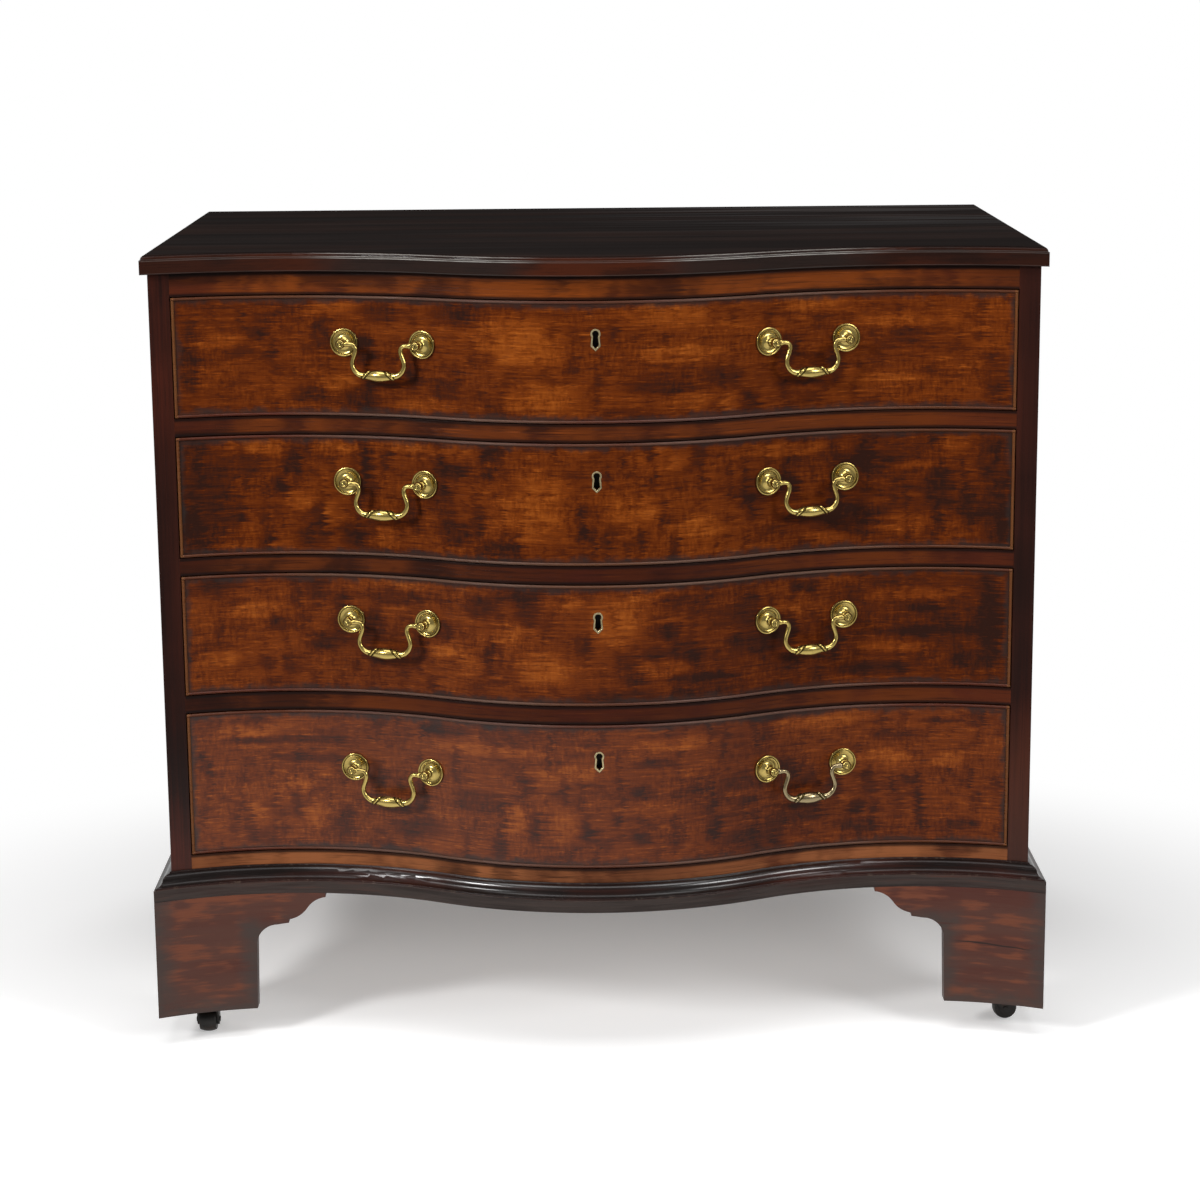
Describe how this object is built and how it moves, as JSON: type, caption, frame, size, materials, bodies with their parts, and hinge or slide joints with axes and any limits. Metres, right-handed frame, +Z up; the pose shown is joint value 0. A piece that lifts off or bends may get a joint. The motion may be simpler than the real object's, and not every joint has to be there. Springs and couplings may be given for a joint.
{
  "type": "serpentine chest of drawers",
  "caption": "Serpentine-fronted mahogany chest of long drawers with moulded top, swan-neck brass bails, cockbeaded fronts and bracket feet on concealed castors.",
  "frame": {"origin": "on the floor under the middle of the chest's box", "axes": "+X to the right seen from the front, +Y to the back, +Z up; the drawers open towards -Y"},
  "size_m": [0.994, 0.651, 0.889],
  "materials": {
    "figured_mahogany": "polished",
    "mahogany": "polished",
    "mahogany_top": "polished",
    "dark_mahogany": "polished",
    "cockbead": "polished",
    "oak": "bare",
    "pine": "bare",
    "brass": "polished",
    "castor_iron": "worn"
  },
  "bodies": {
    "chest": {"top_board": "mahogany_top", "left_side": "mahogany", "right_side": "mahogany", "back_boards": "pine", "carcass_bottom": "oak", "front_rails": "mahogany", "dustboards": "oak", "drawer_runners": "oak", "drawer_stops": "oak", "base_moulding": "dark_mahogany", "front_left_foot": "dark_mahogany", "front_right_foot": "dark_mahogany", "rear_left_foot": "dark_mahogany", "rear_right_foot": "dark_mahogany", "foot_blocks": "pine", "castor_plates": "castor_iron"},
    "drawer_1": {"drawer_1_front": "figured_mahogany", "drawer_1_cockbeads": "cockbead", "drawer_1_lining": "oak", "drawer_1_bottom": "oak", "drawer_1_lock": "brass", "drawer_1_handle_mounts": "brass"},
    "drawer_1_left_bail": {"drawer_1_left_bail": "brass"},
    "drawer_1_right_bail": {"drawer_1_right_bail": "brass"},
    "drawer_1_lock_bolt": {"drawer_1_lock_bolt": "brass"},
    "drawer_2": {"drawer_2_front": "figured_mahogany", "drawer_2_cockbeads": "cockbead", "drawer_2_lining": "oak", "drawer_2_bottom": "oak", "drawer_2_lock": "brass", "drawer_2_handle_mounts": "brass"},
    "drawer_2_left_bail": {"drawer_2_left_bail": "brass"},
    "drawer_2_right_bail": {"drawer_2_right_bail": "brass"},
    "drawer_2_lock_bolt": {"drawer_2_lock_bolt": "brass"},
    "drawer_3": {"drawer_3_front": "figured_mahogany", "drawer_3_cockbeads": "cockbead", "drawer_3_lining": "oak", "drawer_3_bottom": "oak", "drawer_3_lock": "brass", "drawer_3_handle_mounts": "brass"},
    "drawer_3_left_bail": {"drawer_3_left_bail": "brass"},
    "drawer_3_right_bail": {"drawer_3_right_bail": "brass"},
    "drawer_3_lock_bolt": {"drawer_3_lock_bolt": "brass"},
    "drawer_4": {"drawer_4_front": "figured_mahogany", "drawer_4_cockbeads": "cockbead", "drawer_4_lining": "oak", "drawer_4_bottom": "oak", "drawer_4_lock": "brass", "drawer_4_handle_mounts": "brass"},
    "drawer_4_left_bail": {"drawer_4_left_bail": "brass"},
    "drawer_4_right_bail": {"drawer_4_right_bail": "brass"},
    "drawer_4_lock_bolt": {"drawer_4_lock_bolt": "brass"},
    "front_left_castor_fork": {"front_left_castor_fork": "castor_iron"},
    "front_left_castor_roller": {"front_left_castor_roller": "castor_iron"},
    "front_right_castor_fork": {"front_right_castor_fork": "castor_iron"},
    "front_right_castor_roller": {"front_right_castor_roller": "castor_iron"},
    "rear_left_castor_fork": {"rear_left_castor_fork": "castor_iron"},
    "rear_left_castor_roller": {"rear_left_castor_roller": "castor_iron"},
    "rear_right_castor_fork": {"rear_right_castor_fork": "castor_iron"},
    "rear_right_castor_roller": {"rear_right_castor_roller": "castor_iron"}
  },
  "joints": [
    {"name": "drawer_1_slide", "type": "slide", "parent": "chest", "child": "drawer_1", "axis": [0, -1, 0], "range_m": [0, 0.38]},
    {"name": "drawer_1_left_bail_swing", "type": "hinge", "parent": "drawer_1", "child": "drawer_1_left_bail", "pos_m": [-0.23385, -0.26045, 0.7913], "axis": [-0.9522, 0.3054, 0], "range_deg": [-18, 150]},
    {"name": "drawer_1_right_bail_swing", "type": "hinge", "parent": "drawer_1", "child": "drawer_1_right_bail", "pos_m": [0.23385, -0.26045, 0.7913], "axis": [-0.9522, -0.3054, 0], "range_deg": [-18, 150]},
    {"name": "drawer_1_lock_bolt_throw", "type": "slide", "parent": "drawer_1", "child": "drawer_1_lock_bolt", "axis": [0, 0, 1], "range_m": [0, 0.008]},
    {"name": "drawer_2_slide", "type": "slide", "parent": "chest", "child": "drawer_2", "axis": [0, -1, 0], "range_m": [0, 0.38]},
    {"name": "drawer_2_left_bail_swing", "type": "hinge", "parent": "drawer_2", "child": "drawer_2_left_bail", "pos_m": [-0.23385, -0.26045, 0.6388], "axis": [-0.9522, 0.3054, 0], "range_deg": [-18, 150]},
    {"name": "drawer_2_right_bail_swing", "type": "hinge", "parent": "drawer_2", "child": "drawer_2_right_bail", "pos_m": [0.23385, -0.26045, 0.6388], "axis": [-0.9522, -0.3054, 0], "range_deg": [-18, 150]},
    {"name": "drawer_2_lock_bolt_throw", "type": "slide", "parent": "drawer_2", "child": "drawer_2_lock_bolt", "axis": [0, 0, 1], "range_m": [0, 0.008]},
    {"name": "drawer_3_slide", "type": "slide", "parent": "chest", "child": "drawer_3", "axis": [0, -1, 0], "range_m": [0, 0.38]},
    {"name": "drawer_3_left_bail_swing", "type": "hinge", "parent": "drawer_3", "child": "drawer_3_left_bail", "pos_m": [-0.23385, -0.26045, 0.4843], "axis": [-0.9522, 0.3054, 0], "range_deg": [-18, 150]},
    {"name": "drawer_3_right_bail_swing", "type": "hinge", "parent": "drawer_3", "child": "drawer_3_right_bail", "pos_m": [0.23385, -0.26045, 0.4843], "axis": [-0.9522, -0.3054, 0], "range_deg": [-18, 150]},
    {"name": "drawer_3_lock_bolt_throw", "type": "slide", "parent": "drawer_3", "child": "drawer_3_lock_bolt", "axis": [0, 0, 1], "range_m": [0, 0.008]},
    {"name": "drawer_4_slide", "type": "slide", "parent": "chest", "child": "drawer_4", "axis": [0, -1, 0], "range_m": [0, 0.38]},
    {"name": "drawer_4_left_bail_swing", "type": "hinge", "parent": "drawer_4", "child": "drawer_4_left_bail", "pos_m": [-0.23385, -0.26045, 0.3153], "axis": [-0.9522, 0.3054, 0], "range_deg": [-18, 150]},
    {"name": "drawer_4_right_bail_swing", "type": "hinge", "parent": "drawer_4", "child": "drawer_4_right_bail", "pos_m": [0.23385, -0.26045, 0.3153], "axis": [-0.9522, -0.3054, 0], "range_deg": [-18, 150]},
    {"name": "drawer_4_lock_bolt_throw", "type": "slide", "parent": "drawer_4", "child": "drawer_4_lock_bolt", "axis": [0, 0, 1], "range_m": [0, 0.008]},
    {"name": "front_left_castor_swivel", "type": "hinge", "parent": "chest", "child": "front_left_castor_fork", "pos_m": [-0.449, -0.20059, 0.033], "axis": [0, 0, 1], "continuous": true},
    {"name": "front_left_castor_roll", "type": "hinge", "parent": "front_left_castor_fork", "child": "front_left_castor_roller", "pos_m": [-0.449, -0.21559, 0.014], "axis": [-1, 0, 0], "continuous": true},
    {"name": "front_right_castor_swivel", "type": "hinge", "parent": "chest", "child": "front_right_castor_fork", "pos_m": [0.449, -0.20059, 0.033], "axis": [0, 0, 1], "continuous": true},
    {"name": "front_right_castor_roll", "type": "hinge", "parent": "front_right_castor_fork", "child": "front_right_castor_roller", "pos_m": [0.464, -0.20059, 0.014], "axis": [0, -1, 0], "continuous": true},
    {"name": "rear_left_castor_swivel", "type": "hinge", "parent": "chest", "child": "rear_left_castor_fork", "pos_m": [-0.449, 0.2775, 0.033], "axis": [0, 0, 1], "continuous": true},
    {"name": "rear_left_castor_roll", "type": "hinge", "parent": "rear_left_castor_fork", "child": "rear_left_castor_roller", "pos_m": [-0.4576, 0.28979, 0.014], "axis": [0.8192, 0.5736, 0], "continuous": true},
    {"name": "rear_right_castor_swivel", "type": "hinge", "parent": "chest", "child": "rear_right_castor_fork", "pos_m": [0.449, 0.2775, 0.033], "axis": [0, 0, 1], "continuous": true},
    {"name": "rear_right_castor_roll", "type": "hinge", "parent": "rear_right_castor_fork", "child": "rear_right_castor_roller", "pos_m": [0.45413, 0.29159, 0.014], "axis": [0.9397, -0.342, 0], "continuous": true}
  ]
}
